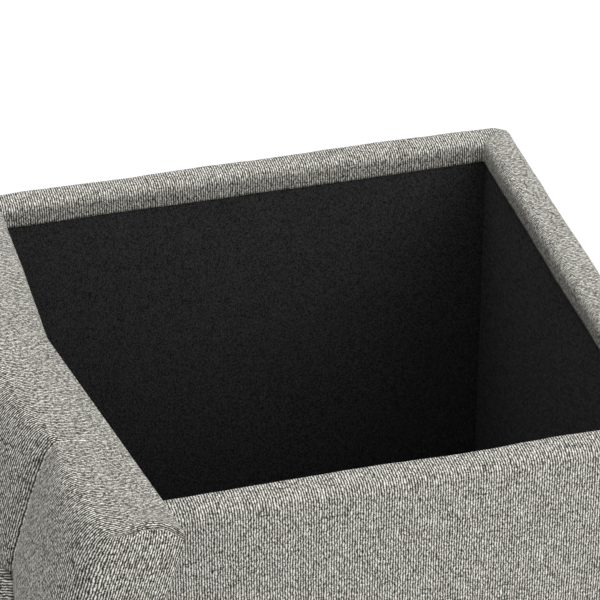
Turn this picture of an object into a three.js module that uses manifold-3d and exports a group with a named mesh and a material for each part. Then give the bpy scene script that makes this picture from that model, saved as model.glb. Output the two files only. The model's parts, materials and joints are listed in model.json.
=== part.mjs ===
// Square upholstered storage ottoman: an open box on four glides and a separate tufted lid.
// The lid stands on one edge on the floor and leans, underside inwards, on the front left top corner
// of the box. Millimetres, +Z up, -Y is the front, the origin is under the middle of the whole set.
import * as THREE from 'three';
import { mergeVertices } from 'three/addons/utils/BufferGeometryUtils.js';
import Module from 'manifold-3d';

const wasm = await Module();
wasm.setup();

// ---- driving dimensions ----
const SIDE = 400; // outside length of the box and of the lid
const RIM_HEIGHT = 312; // floor to the top of the rim
const WALL = 23; // upholstered wall, outside face to inside face
const BAND = 12; // cloth band turned down inside the opening
const LID_HEIGHT = 70; // underside of the lid to the top of its cushion
const LEAN = THREE.MathUtils.degToRad(19.5); // lid from upright
const TWIST = THREE.MathUtils.degToRad(10); // lid's lower edge from the box's left side, seen from above
const LID_FORWARD = 66; // how far the lid's middle is in front of the box's middle, along the lid's edge

const GAP = 0.3; // between pieces that touch
const CLOTH = 1.4;
const FOAM = 5; // foam over the walls and the rim
const BOARD = 12;
const LINING = 2.5; // lined card on the inside walls and the storage floor
const SHEET = 1; // dust cover and lid lining
const FLANGE = 20; // cloth turned under the base
const LID_FLANGE = 25; // cloth turned under the lid board
const CORNER = 12; // plan radius of the box's outer corners
const INNER_CORNER = 3; // plan radius of the opening's corners
const SHARP = 0.4; // radius left on a cut that follows square board edges
const RIM_ROUND = 8; // rounding along the outer edge of the rim
const LID_CORNER = 14;
const LID_ROUND = 22; // rounding along the cushion's top edge

const GLIDE_HEIGHT = 9;
const GLIDE_RADIUS = 15;
const GLIDE_PLACE = 155; // glide's middle from the box's middle, along X and along Y
const GLIDE_EDGE = 2; // slope at the glide's lower edge and depth of its screw's recess
const GLIDE_TAPER = 1; // upper face is narrower than the widest part
const SCREW_SHANK = 2; // radius
const SCREW_HEAD = 4.2; // radius
const SCREW_HEAD_HEIGHT = 3;
const WALL_SCREW_LENGTH = 38;
const GLIDE_SCREW_BITE = 8; // length of the glide's screw inside the base board
const CORNER_SCREW_HEIGHTS = [70, 240];

const TUFT_UP = 92; // button's middle from the lid's middle, along the leaning sides
const TUFT_ALONG = 104; // the same along the edge that stands on the floor
const BUTTON_RADIUS = 17;
const BUTTON_OUTLINE = [[14, GAP], [BUTTON_RADIUS, 3], [15, 6], [9, 8], [0, 9]]; // radius, height on seat
const BUTTON_MARGIN = 3; // flat seat round the button
const BUTTON_SEAT = 46; // height of the bottom of each tuft above the lid's underside
const TUFT_RADIUS = 78; // where a tuft's slope meets the top of the cushion
const TUFT_OVERRUN = 2; // tuft's slope carried on above the cushion for a clean cut
const TUFT_STEPS = 5;
const TWINE_RADIUS = 1;
const WASHER_RADIUS = 10;
const WASHER_HEIGHT = 1.8;
const BATTEN_WIDTH = 20;
const BATTEN_HEIGHT = 12;
const BATTEN_PLAY = 3; // between the battens and the opening, on each side
const HARDWARE_ROOM = 1; // round a washer, and round a screw head in its recess

// ---- fineness of the facets ----
const CORNER_STEPS = 5; // along a rounded corner
const TURN_STEPS = 24; // round glides, buttons and tufts
const WASHER_STEPS = 20;
const SCREW_STEPS = 12;
const TWINE_STEPS = 10;

// ---- heights and half widths that follow ----
const HALF = SIDE / 2;
const OPENING = HALF - WALL;
const SHEET_Z = GLIDE_HEIGHT + GAP;
const COVER_Z = SHEET_Z + SHEET + GAP;
const BOARD_Z = COVER_Z + CLOTH + GAP;
const FLOOR_Z = BOARD_Z + BOARD + GAP;
const FOAM_IN = CLOTH + GAP; // foam's outer face from the cover's outer face
const BOARD_IN = FOAM_IN + FOAM + GAP;
const BOARD_OUT = HALF - BOARD_IN;
const BOARD_TOP = RIM_HEIGHT - BOARD_IN;
const LINING_IN = BOARD_OUT - BOARD - GAP; // lining's outer face from the box's middle

const LID_COVER_Z = SHEET + GAP;
const LID_BOARD_Z = LID_COVER_Z + CLOTH + GAP;
const LID_BOARD_TOP = LID_BOARD_Z + BOARD;
const GLIDE_SCREW_LENGTH = BOARD_Z + GLIDE_SCREW_BITE - GLIDE_EDGE;
const BIG = 1000; // larger than the whole object, for cuts that go right through

// ---- materials ----
function finish(color, roughness, metalness = 0) {
  return new THREE.MeshStandardMaterial({ color, roughness, metalness });
}
const paint = {
  cloth: () => finish(0xa5a39b, 0.95),
  felt: () => finish(0x1b1b1c, 0.98),
  foam: () => finish(0xe6dfc2, 0.9),
  board: () => finish(0xb9935f, 0.75),
  steel: () => finish(0xb8b9bb, 0.35, 1),
  batten: () => finish(0x24211f, 0.7),
  plastic: () => finish(0x1d1d1f, 0.6),
  twine: () => finish(0xd8d4c8, 0.85),
};

// ---- solids ----
function solid(geometry) {
  const bare = geometry.clone();
  bare.deleteAttribute('normal');
  bare.deleteAttribute('uv');
  const joined = mergeVertices(bare, 1e-4);
  return new wasm.Manifold(new wasm.Mesh({
    numProp: 3,
    vertProperties: new Float32Array(joined.attributes.position.array),
    triVerts: new Uint32Array(joined.index.array),
  }));
}

function meshOf(name, body, material) {
  const { vertProperties, triVerts } = body.getMesh();
  const geometry = new THREE.BufferGeometry();
  geometry.setAttribute('position', new THREE.BufferAttribute(vertProperties, 3));
  geometry.setIndex(new THREE.BufferAttribute(triVerts, 1));
  geometry.computeVertexNormals();
  const mesh = new THREE.Mesh(geometry, material());
  mesh.name = name;
  return mesh;
}

function roundedSquare(half, radius) {
  const shape = new THREE.Shape();
  const c = half - radius;
  shape.moveTo(half, -c);
  shape.lineTo(half, c);
  shape.absarc(c, c, radius, 0, Math.PI / 2);
  shape.lineTo(-c, half);
  shape.absarc(-c, c, radius, Math.PI / 2, Math.PI);
  shape.lineTo(-half, -c);
  shape.absarc(-c, -c, radius, Math.PI, 1.5 * Math.PI);
  shape.lineTo(c, -half);
  shape.absarc(c, -c, radius, 1.5 * Math.PI, 2 * Math.PI);
  return shape;
}

// Upright prism of a plan shape between two heights.
function prism(shape, low, high) {
  const depth = high - low;
  const geometry = new THREE.ExtrudeGeometry(shape, {
    depth,
    bevelEnabled: false,
    curveSegments: CORNER_STEPS,
  });
  geometry.translate(0, 0, low);
  return solid(geometry);
}

function column(half, radius, low, high) {
  return prism(roundedSquare(half, radius), low, high);
}

function block(low, high) {
  const size = high.map((value, axis) => value - low[axis]);
  const geometry = new THREE.BoxGeometry(...size);
  geometry.translate(...low.map((value, axis) => value + size[axis] / 2));
  return solid(geometry);
}

// Side view of a cushion: square at the bottom, rounded along the top.
function domeProfile(half, low, high, round) {
  const shape = new THREE.Shape();
  shape.moveTo(-half, low);
  shape.lineTo(half, low);
  shape.lineTo(half, high - round);
  shape.absarc(half - round, high - round, round, 0, Math.PI / 2);
  shape.lineTo(round - half, high);
  shape.absarc(round - half, high - round, round, Math.PI / 2, Math.PI);
  return shape;
}

// Square block with rounded upright corners and a rounded top edge.
function cushion(half, corner, low, high, round) {
  const depth = 2 * half + 2;
  const profile = new THREE.ExtrudeGeometry(domeProfile(half, low, high, round), {
    depth,
    bevelEnabled: false,
    curveSegments: CORNER_STEPS,
  });
  profile.translate(0, 0, -depth / 2);
  profile.rotateX(Math.PI / 2);
  const acrossY = solid(profile);
  profile.rotateZ(Math.PI / 2);
  const acrossX = solid(profile);
  return column(half, corner, low, high).intersect(acrossY).intersect(acrossX);
}

function lathe(points, segments = TURN_STEPS) {
  const geometry = new THREE.LatheGeometry(points.map(([r, z]) => new THREE.Vector2(r, z)), segments);
  geometry.rotateX(Math.PI / 2);
  return solid(geometry);
}

function rod(radius, low, high, segments = SCREW_STEPS) {
  return lathe([[0, low], [radius, low], [radius, high], [0, high]], segments);
}

// Screw pointing up, head at the bottom; with play, the hole it goes into, open below the head.
function screw(length, play = 0) {
  const head = SCREW_HEAD + play;
  const shank = SCREW_SHANK + play;
  const foot = -4 * play;
  return lathe([
    [0, foot],
    [head, foot],
    [head, SCREW_HEAD_HEIGHT + play],
    [shank, SCREW_HEAD_HEIGHT + play],
    [shank, length + play],
    [0, length + play],
  ], SCREW_STEPS);
}

// The quarter of the box on the front side, cut along the mitres; each other side is a turn of it.
function quarter(turn) {
  const wedge = new THREE.Shape([
    new THREE.Vector2(0, -GAP),
    new THREE.Vector2(-BIG, -BIG - GAP),
    new THREE.Vector2(BIG, -BIG - GAP),
  ]);
  return prism(wedge, -BIG, BIG).rotate([0, 0, turn * 90]);
}
const SIDES = ['front', 'right', 'back', 'left'];

// ---- box ----
function makeCovers() {
  const outside = cushion(HALF, CORNER, COVER_Z, RIM_HEIGHT, RIM_ROUND);
  const inside = cushion(
    HALF - CLOTH, CORNER - CLOTH, COVER_Z + CLOTH, RIM_HEIGHT - CLOTH, RIM_ROUND - CLOTH,
  );
  const hollow = inside.subtract(column(OPENING + CLOTH, INNER_CORNER + CLOTH, -BIG, BIG));
  const belowBand = column(LINING_IN, SHARP, COVER_Z + CLOTH, RIM_HEIGHT - BAND);
  const underside = column(HALF - FLANGE, INNER_CORNER, 0, COVER_Z + 2 * CLOTH);
  const ring = outside
    .subtract(column(OPENING, INNER_CORNER, -BIG, BIG))
    .subtract(hollow)
    .subtract(belowBand)
    .subtract(underside);
  return SIDES.map((side, turn) => meshOf(`cover_${side}`, ring.intersect(quarter(turn)), paint.cloth));
}

function makeFoam() {
  const outside = cushion(
    HALF - FOAM_IN, CORNER - FOAM_IN, BOARD_Z, RIM_HEIGHT - FOAM_IN, RIM_ROUND - FOAM_IN,
  );
  const boards = column(BOARD_OUT + GAP, SHARP, -BIG, BOARD_TOP + GAP)
    .subtract(column(LINING_IN, SHARP, -BIG, BIG));
  const ring = outside
    .subtract(column(OPENING + CLOTH + GAP, INNER_CORNER, -BIG, BIG))
    .subtract(boards)
    .subtract(column(LINING_IN + GAP, SHARP, -BIG, RIM_HEIGHT - BAND + GAP));
  return SIDES.map((side, turn) => meshOf(`foam_${side}`, ring.intersect(quarter(turn)), paint.foam));
}

// Corner screws run from the front and back boards into the ends of the side boards.
function cornerScrewPlaces() {
  const places = [];
  for (const front of [true, false]) {
    for (const x of [-1, 1]) {
      for (const z of CORNER_SCREW_HEIGHTS) {
        places.push({ front, x: x * (BOARD_OUT - BOARD / 2), z });
      }
    }
  }
  return places;
}

function placeCornerScrew(body, { front, x, z }) {
  const turned = front ? body.rotate([-90, 0, 0]) : body.rotate([90, 0, 0]);
  const face = BOARD_OUT - GAP;
  return turned.translate([x, front ? -face : face, z]);
}

// One screw through the middle of each wall into the edge of the base board.
function placeBaseScrew(body, turn) {
  return body
    .rotate([-90, 0, 0])
    .translate([0, GAP - BOARD_OUT, BOARD_Z + BOARD / 2])
    .rotate([0, 0, turn * 90]);
}

function placesOfGlides() {
  return [[-1, -1], [1, -1], [1, 1], [-1, 1]].map(([x, y]) => [x * GLIDE_PLACE, y * GLIDE_PLACE]);
}

function makeBoards() {
  const screwHole = screw(WALL_SCREW_LENGTH, GAP);
  const cornerHoles = cornerScrewPlaces().map((place) => placeCornerScrew(screwHole, place));
  const baseHoles = SIDES.map((side, turn) => placeBaseScrew(screwHole, turn));
  const wallHoles = [...cornerHoles, ...baseHoles];
  const drill = (body, holes) => holes.reduce((left, hole) => left.subtract(hole), body);
  const inner = BOARD_OUT - BOARD;
  const end = inner - GAP;
  const walls = {
    front: block([-BOARD_OUT, -BOARD_OUT, BOARD_Z], [BOARD_OUT, -inner, BOARD_TOP]),
    right: block([inner, -end, BOARD_Z], [BOARD_OUT, end, BOARD_TOP]),
    back: block([-BOARD_OUT, inner, BOARD_Z], [BOARD_OUT, BOARD_OUT, BOARD_TOP]),
    left: block([-BOARD_OUT, -end, BOARD_Z], [-inner, end, BOARD_TOP]),
  };
  const meshes = SIDES.map((side) => meshOf(`board_${side}`, drill(walls[side], wallHoles), paint.board));
  const glideHole = screw(GLIDE_SCREW_LENGTH, GAP);
  const glideHoles = placesOfGlides().map(([x, y]) => glideHole.translate([x, y, GLIDE_EDGE]));
  const base = block([-end, -end, BOARD_Z], [end, end, BOARD_Z + BOARD]);
  meshes.push(meshOf('base_board', drill(base, [...baseHoles, ...glideHoles]), paint.board));
  return meshes;
}

function makeWallScrews() {
  const corner = cornerScrewPlaces().map((place, index) => meshOf(
    `corner_screw_${index + 1}`, placeCornerScrew(screw(WALL_SCREW_LENGTH), place), paint.steel,
  ));
  const base = SIDES.map((side, turn) => meshOf(
    `base_screw_${side}`, placeBaseScrew(screw(WALL_SCREW_LENGTH), turn), paint.steel,
  ));
  return [...corner, ...base];
}

function makeLining() {
  const inner = LINING_IN - LINING;
  const low = FLOOR_Z;
  const high = RIM_HEIGHT - BAND - GAP;
  const end = inner - GAP;
  const walls = {
    front: block([-LINING_IN, -LINING_IN, low], [LINING_IN, -inner, high]),
    right: block([inner, -end, low], [LINING_IN, end, high]),
    back: block([-LINING_IN, inner, low], [LINING_IN, LINING_IN, high]),
    left: block([-LINING_IN, -end, low], [-inner, end, high]),
  };
  const meshes = SIDES.map((side) => meshOf(`lining_${side}`, walls[side], paint.felt));
  meshes.push(meshOf('lining_floor', block([-end, -end, low], [end, end, low + LINING]), paint.felt));
  return meshes;
}

function makeUnderside() {
  const hole = rod(SCREW_SHANK + GAP, 0, BOARD_Z);
  const sheet = placesOfGlides().reduce(
    (left, [x, y]) => left.subtract(hole.translate([x, y, 0])),
    column(HALF - FLANGE / 2, INNER_CORNER, SHEET_Z, SHEET_Z + SHEET),
  );
  const recess = rod(SCREW_HEAD + HARDWARE_ROOM, -GLIDE_EDGE, GLIDE_EDGE);
  const glide = lathe([
    [0, 0],
    [GLIDE_RADIUS - GLIDE_EDGE, 0],
    [GLIDE_RADIUS, GLIDE_EDGE],
    [GLIDE_RADIUS - GLIDE_TAPER, GLIDE_HEIGHT],
    [0, GLIDE_HEIGHT],
  ])
    .subtract(recess)
    .subtract(screw(GLIDE_SCREW_LENGTH, GAP).translate([0, 0, GLIDE_EDGE]));
  const meshes = [meshOf('dust_cover', sheet, paint.felt)];
  placesOfGlides().forEach(([x, y], index) => {
    const pin = screw(GLIDE_SCREW_LENGTH).translate([x, y, GLIDE_EDGE]);
    meshes.push(meshOf(`glide_${index + 1}`, glide.translate([x, y, 0]), paint.plastic));
    meshes.push(meshOf(`glide_screw_${index + 1}`, pin, paint.steel));
  });
  return meshes;
}

// ---- lid, made flat with its underside at z = 0 and its cushion upwards ----
function placesOfButtons() {
  return [[-1, -1], [1, -1], [1, 1], [-1, 1]].map(([x, y]) => [x * TUFT_UP, y * TUFT_ALONG]);
}

// Space of one tuft: a flat seat for the button and a slope that flattens out towards the top.
function tuft(drop) {
  const low = BUTTON_SEAT - drop;
  const rise = LID_HEIGHT + TUFT_OVERRUN - BUTTON_SEAT;
  const top = LID_HEIGHT + 2 * TUFT_OVERRUN;
  const seat = BUTTON_RADIUS + BUTTON_MARGIN;
  const slope = [];
  for (let step = 0; step <= TUFT_STEPS; step += 1) {
    const part = step / TUFT_STEPS;
    const radius = seat + (TUFT_RADIUS - seat) * part;
    slope.push([radius, low + rise * Math.sin((part * Math.PI) / 2)]);
  }
  return lathe([[0, low], ...slope, [TUFT_RADIUS, top], [0, top]]);
}

function cutAtButtons(body, cutter) {
  return placesOfButtons().reduce((left, [x, y]) => left.subtract(cutter.translate([x, y, 0])), body);
}

function makeLid() {
  const lid = new THREE.Group();
  const twineHole = rod(TWINE_RADIUS + GAP, -BIG, BIG, TWINE_STEPS);
  const foamIn = CLOTH + GAP;

  const outside = cutAtButtons(
    cushion(HALF, LID_CORNER, LID_COVER_Z, LID_HEIGHT, LID_ROUND),
    tuft(0),
  );
  const insideHeights = [LID_COVER_Z + CLOTH, LID_HEIGHT - CLOTH];
  const inside = cutAtButtons(
    cushion(HALF - CLOTH, LID_CORNER - CLOTH, ...insideHeights, LID_ROUND - CLOTH),
    tuft(CLOTH),
  );
  const flangeOpening = column(HALF - LID_FLANGE, INNER_CORNER, 0, LID_COVER_Z + 2 * CLOTH);
  const cover = cutAtButtons(outside.subtract(inside).subtract(flangeOpening), twineHole);
  lid.add(meshOf('lid_cover', cover, paint.cloth));

  const foamBlock = cushion(
    HALF - foamIn, LID_CORNER - foamIn, LID_BOARD_Z, LID_HEIGHT - foamIn, LID_ROUND - foamIn,
  ).subtract(column(BOARD_OUT + GAP, LID_CORNER / 2, 0, LID_BOARD_TOP + GAP));
  lid.add(meshOf('lid_foam', cutAtButtons(cutAtButtons(foamBlock, tuft(foamIn)), twineHole), paint.foam));

  const washerZ = LID_BOARD_Z + GAP;
  const washerTop = washerZ + WASHER_HEIGHT;
  const washerSpace = rod(WASHER_RADIUS + HARDWARE_ROOM, 0, washerTop + GAP, WASHER_STEPS);
  const board = column(BOARD_OUT, LID_CORNER / 2, LID_BOARD_Z, LID_BOARD_TOP);
  lid.add(meshOf('lid_board', cutAtButtons(cutAtButtons(board, washerSpace), twineHole), paint.board));

  const sheet = column(HALF - LID_FLANGE / 2, INNER_CORNER, 0, SHEET);
  lid.add(meshOf('lid_lining', sheet, paint.felt));

  const washer = rod(WASHER_RADIUS, washerZ, washerTop, WASHER_STEPS).subtract(twineHole);
  const twine = rod(TWINE_RADIUS, washerZ, BUTTON_SEAT, TWINE_STEPS);
  const button = lathe([
    [0, BUTTON_SEAT + GAP],
    ...BUTTON_OUTLINE.map(([radius, height]) => [radius, BUTTON_SEAT + height]),
  ]);
  placesOfButtons().forEach(([x, y], index) => {
    const number = index + 1;
    lid.add(meshOf(`button_${number}`, button.translate([x, y, 0]), paint.cloth));
    lid.add(meshOf(`twine_${number}`, twine.translate([x, y, 0]), paint.twine));
    lid.add(meshOf(`washer_${number}`, washer.translate([x, y, 0]), paint.plastic));
  });

  const reach = OPENING - BATTEN_PLAY;
  const inner = reach - BATTEN_WIDTH;
  const end = inner - GAP;
  const low = -GAP - BATTEN_HEIGHT;
  const battens = {
    front: block([-reach, -reach, low], [reach, -inner, -GAP]),
    right: block([inner, -end, low], [reach, end, -GAP]),
    back: block([-reach, inner, low], [reach, reach, -GAP]),
    left: block([-reach, -end, low], [-inner, end, -GAP]),
  };
  for (const side of SIDES) {
    lid.add(meshOf(`locating_batten_${side}`, battens[side], paint.batten));
  }
  return lid;
}

// Stands the lid on its -X edge and leans it until its underside meets the box's rim.
function leanLid(lid, box) {
  lid.rotation.set(0, LEAN - Math.PI / 2, TWIST, 'ZYX');
  const inwards = new THREE.Vector3(0, 0, -1).applyEuler(lid.rotation);
  const along = new THREE.Vector3(0, 1, 0).applyEuler(lid.rotation);
  const point = new THREE.Vector3();
  let nearest = Infinity;
  for (const mesh of box.children) {
    const place = mesh.geometry.attributes.position;
    for (let index = 0; index < place.count; index += 1) {
      nearest = Math.min(nearest, point.fromBufferAttribute(place, index).dot(inwards));
    }
  }
  const height = HALF * Math.cos(LEAN) - LID_COVER_Z * Math.sin(LEAN);
  const sideways = (nearest - GAP - height * inwards.z) / Math.cos(LEAN);
  lid.position
    .set(Math.cos(TWIST), Math.sin(TWIST), 0)
    .multiplyScalar(sideways)
    .addScaledVector(along, -LID_FORWARD);
  lid.position.z = height;
}

// ---- assembly ----
const box = new THREE.Group();
box.add(...makeCovers(), ...makeFoam(), ...makeBoards(), ...makeWallScrews());
box.add(...makeLining(), ...makeUnderside());

const lid = makeLid();
leanLid(lid, box);

const ottoman = new THREE.Group();
ottoman.add(box, lid);
ottoman.updateMatrixWorld(true);
const extent = new THREE.Box3().setFromObject(ottoman, true);
const middle = extent.getCenter(new THREE.Vector3());
ottoman.position.set(-middle.x, -middle.y, -extent.min.z);

export default ottoman;
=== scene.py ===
"""Looks of the square storage ottoman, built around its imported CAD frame.

The box is upholstered in four mitred cloth panels and lined with black felt. The lid is a tufted
cushion that leans on the front left corner of the box. Metres, +Z up, -Y is the front of the box.
"""

import json
import math

import bmesh
import bpy
import numpy as np
from mathutils import Matrix, Vector


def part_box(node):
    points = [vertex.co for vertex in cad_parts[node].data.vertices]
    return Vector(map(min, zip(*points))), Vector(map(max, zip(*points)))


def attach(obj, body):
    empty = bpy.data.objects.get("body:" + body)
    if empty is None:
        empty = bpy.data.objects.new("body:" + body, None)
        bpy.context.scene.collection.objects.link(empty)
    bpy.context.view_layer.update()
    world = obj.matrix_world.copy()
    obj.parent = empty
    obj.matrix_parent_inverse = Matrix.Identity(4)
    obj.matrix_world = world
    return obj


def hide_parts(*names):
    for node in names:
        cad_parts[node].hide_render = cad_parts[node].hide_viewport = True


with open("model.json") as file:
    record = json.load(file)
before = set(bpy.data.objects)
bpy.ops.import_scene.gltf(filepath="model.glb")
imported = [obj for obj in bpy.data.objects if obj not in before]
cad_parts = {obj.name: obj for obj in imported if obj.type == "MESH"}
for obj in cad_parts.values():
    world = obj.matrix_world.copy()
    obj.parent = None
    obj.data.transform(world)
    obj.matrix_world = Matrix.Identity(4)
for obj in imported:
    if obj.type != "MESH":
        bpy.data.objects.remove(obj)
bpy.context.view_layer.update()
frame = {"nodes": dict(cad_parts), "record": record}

MM = 0.001


def middle_of(node):
    low, high = (Vector(corner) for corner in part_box(node))
    return (low + high) / 2


# ---- places and sizes read from the frame ----
SHEET_LOW, SHEET_HIGH = (Vector(corner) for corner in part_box("dust_cover"))
BOX_X, BOX_Y, _ = (SHEET_LOW + SHEET_HIGH) / 2
FRONT_LOW, FRONT_HIGH = (Vector(corner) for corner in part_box("cover_front"))
RIM_Z = FRONT_HIGH.z
COVER_Z = FRONT_LOW.z
HALF = BOX_Y - FRONT_LOW.y
OPENING = BOX_Y - FRONT_HIGH.y
WALL = HALF - OPENING
BAND = RIM_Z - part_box("lining_front")[1][2]
SIDES = ("front", "right", "back", "left")

# ---- cloth on the box ----
CLOTH = 1.3 * MM
FLANGE = 20 * MM  # turned under the base
OUTER_CORNER = 12 * MM
INNER_CORNER = 2 * MM
RIM_RISE = 3 * MM  # padded rim above the boards' cover
RIM_OUTER_ROUND = 8 * MM
RIM_INNER_ROUND = 6.5 * MM
FOOT_ROUND = 3 * MM
PROUD = 0.7 * MM  # padding's swell on the outer faces
BAND_OVERLAP = 1 * MM  # band reaches this far below the top of the lining
GRID_STEP = 6 * MM
RIM_STEP = 3 * MM
BAND_STEP = 2 * MM
MITRE_GAP = 0.3  # degrees left open on each side of a corner seam
MITRE_STEPS = 7
PANEL_SHIFT = 0.37  # metres of weave from one wall to the next, so that no two look alike
CORNER_SEAM_DEPTH = 0.5 * MM
CORNER_SEAM_COLUMNS = 1.6
WALL_PUFF = 0.7 * MM
WALL_PUFF_PERIOD = 0.11
WALL_RIPPLE = 0.25 * MM
WALL_RIPPLE_PERIOD = 0.03
WALL_HOLD = 0.03  # height over which the foot of a wall stays straight

# ---- thin panels ----
PANEL_CUTS = 24
LINING_ROUND = 0.9 * MM
LINING_WAVE = 0.25 * MM
DUST_ROUND = 0.3 * MM
DUST_WAVE = 0.1 * MM
UNDERSIDE_CUTS = 30
UNDERSIDE_ROUND = 0.4 * MM
UNDERSIDE_WAVE = 0.15 * MM
UNDERSIDE_INSET = 12.5 * MM  # lining's edge from the edge of the lid
BATTEN_CUTS = 16
BATTEN_ROUND = 1.5 * MM
BATTEN_WAVE = 0.08 * MM
WAVE_PERIOD = 0.09

# ---- lid ----
LEAN = math.radians(19.5)
TWIST = math.radians(10)
LID_TURN = Matrix.Rotation(TWIST, 4, "Z") @ Matrix.Rotation(LEAN - math.pi / 2, 4, "Y")
LID_SHEET = 1 * MM
LID_MIDDLE = middle_of("lid_lining") - LID_TURN @ Vector((0, 0, LID_SHEET / 2))
LID = Matrix.Translation(LID_MIDDLE) @ LID_TURN
BUTTON_DIAGONAL = LID_TURN.to_3x3().transposed() @ (middle_of("button_3") - middle_of("button_1"))
TUFT_X, TUFT_Y, _ = BUTTON_DIAGONAL / 2
LID_COVER_Z = 0.2 * MM
LID_CORNER = 12 * MM
LID_PROUD = 3 * MM  # stuffing's swell on the lid's sides
LID_EDGE = HALF + LID_PROUD
SEAM_HEIGHT = 48 * MM
BUTTON_RADIUS = 17 * MM
REST_GAP = 0.3 * MM  # between the lid and the rim it leans on
FLOOR_GAP = 0.1 * MM

# ---- shape of the cushion before and after stuffing ----
BORDER_LINES = 28  # from the lid's edge to a pleat
MIDDLE_LINES = 44  # from pleat to pleat
LINE_EVENNESS = 0.35  # 1 for lines that are equally far apart
SIDE_ROWS = 12
UNDER_ROWS = ((0.4, 0.5), (6, 0.2), (12, 0.2), (16, 1.6))  # inset and height of each ring, mm
PLEAT_WIDTH = 36 * MM
EDGE_ROUND = 30 * MM
EDGE_DROP = 5 * MM
EDGE_SHARE = 0.75  # share of a pillow's height that goes at the lid's edge
PILLOW = 16 * MM
PILLOW_POWER = 0.7
BUTTON_DIP = 5 * MM
BUTTON_DIP_WIDTH = 24 * MM
CORNER_PULL = 9 * MM  # cloth drawn round the corners
CORNER_PULL_REACH = 20 * MM
SIDE_BULGE = 0.006  # share of the half width
PIN_MARGIN = 3 * MM
PIN_REACH = 0.1 * MM
PRESSURE = 3.0
SWELL_LIMIT = 6 * MM
CLOTH_FRAMES = 20
EVENING = 0.75  # share of uneven cloth length that is taken up between neighbouring lines

# ---- pleats, folds and seams of the cushion ----
SIDE_HEIGHT = 0.05  # roughly
TOP_FADE = 4  # what belongs to the top ends a quarter of the way down the sides
SIDE_FADE = 6  # what belongs to the sides starts over their first sixth
PLEAT_WANDER = 0.5 * MM
PLEAT_DEPTH = 0.4 * MM  # on the sides
PLEAT_DEPTH_TOP = 0.8 * MM  # added on the top
PLEAT_LINE = 0.9 * MM
PLEAT_END = 0.7  # how far down the sides the pleats run
FOLDS = 9  # round a button
FOLD_START = 1.3
FOLD_DEPTH = 1.1 * MM
FOLD_REACH = 13 * MM
FOLD_EDGE = 0.8  # share of a button's radius where its folds start
GATHER_DEPTH = 0.6 * MM
GATHER_PLACE = 14 * MM
GATHER_WIDTH = 16 * MM
GATHER_REACH = 20 * MM
GATHER_PITCH = 2.6 * MM
SEAM_DEPTH = 2.0 * MM
SEAM_LINE = 1.2 * MM
WELT_HEIGHT = 0.9 * MM
WELT_PLACE = 5 * MM
WELT_WIDTH = 3.5 * MM
LUMPS = 0.5 * MM
LUMP_PERIOD = 0.05
LUMP_END = 1.05

# ---- buttons ----
BUTTON_EDGE = 4 * MM
BUTTON_TOP = 9.5 * MM
BUTTON_BASE = 44 * MM  # above the lid's underside
BUTTON_SEGMENTS = 64
BUTTON_GATHERS = 14
GATHER_SHARE = 0.012
GATHER_HEIGHT = 6 * MM
CROWN_START = 0.88  # where the dome takes over from the edge, as a share of its radius
CROWN_END = 0.9
CROWN_STEPS = 12
BUTTON_TURNS = (15, -33.4, 70, -60)  # degrees of the ribs on each button


# ---- mesh helpers ----
def new_object(name, vertices, faces, body, material, uvs=None, place=None):
    """uvs holds one list of (u, v) per face."""
    mesh = bpy.data.meshes.new(name)
    mesh.from_pydata([tuple(v) for v in vertices], [], faces)
    if uvs is not None:
        layer = mesh.uv_layers.new(name="weave")
        flat = [number for face in uvs for corner in face for number in corner]
        layer.data.foreach_set("uv", np.array(flat, dtype=np.float32))
    mesh.validate()
    piece = bpy.data.objects.new(name, mesh)
    bpy.context.scene.collection.objects.link(piece)
    if place is not None:
        piece.matrix_world = place
    mesh.materials.append(material)
    mesh.shade_smooth()
    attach(piece, body)
    return piece


def apply_modifier(piece, kind, **settings):
    modifier = piece.modifiers.new(kind.lower(), kind)
    for name, value in settings.items():
        setattr(modifier, name, value)
    depsgraph = bpy.context.evaluated_depsgraph_get()
    mesh = bpy.data.meshes.new_from_object(
        piece.evaluated_get(depsgraph), preserve_all_data_layers=True, depsgraph=depsgraph
    )
    piece.modifiers.remove(modifier)
    old = piece.data
    piece.data = mesh
    bpy.data.meshes.remove(old)


def grid_faces(height, width):
    """Faces between vertices that are numbered row by row."""
    corners = [row * width + column for row in range(height - 1) for column in range(width - 1)]
    return [(first, first + 1, first + 1 + width, first + width) for first in corners]


def smooth_noise(points, period, seed):
    """Gentle unevenness, mostly from -1 to 1, as a sum of slanted waves."""
    rng = np.random.default_rng(seed)
    total = np.zeros(len(points))
    for _ in range(10):
        direction = rng.normal(size=3)
        direction /= np.linalg.norm(direction)
        turn = 2 * np.pi / (period * rng.uniform(0.7, 1.9))
        total += np.sin(points @ direction * turn + rng.uniform(0, 2 * np.pi))
    return total / 5


def crease(distance, width):
    """1 on a line, sinking smoothly to 0 on both sides of it."""
    return np.exp(-((distance / width) ** 2))


def coordinates(piece):
    flat = np.empty(len(piece.data.vertices) * 3)
    piece.data.vertices.foreach_get("co", flat)
    return flat.reshape(-1, 3)


def set_coordinates(piece, points):
    piece.data.vertices.foreach_set("co", np.ascontiguousarray(points).ravel())
    piece.data.update()


def normals(piece):
    flat = np.empty(len(piece.data.vertices) * 3)
    piece.data.vertex_normals.foreach_get("vector", flat)
    return flat.reshape(-1, 3)


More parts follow.
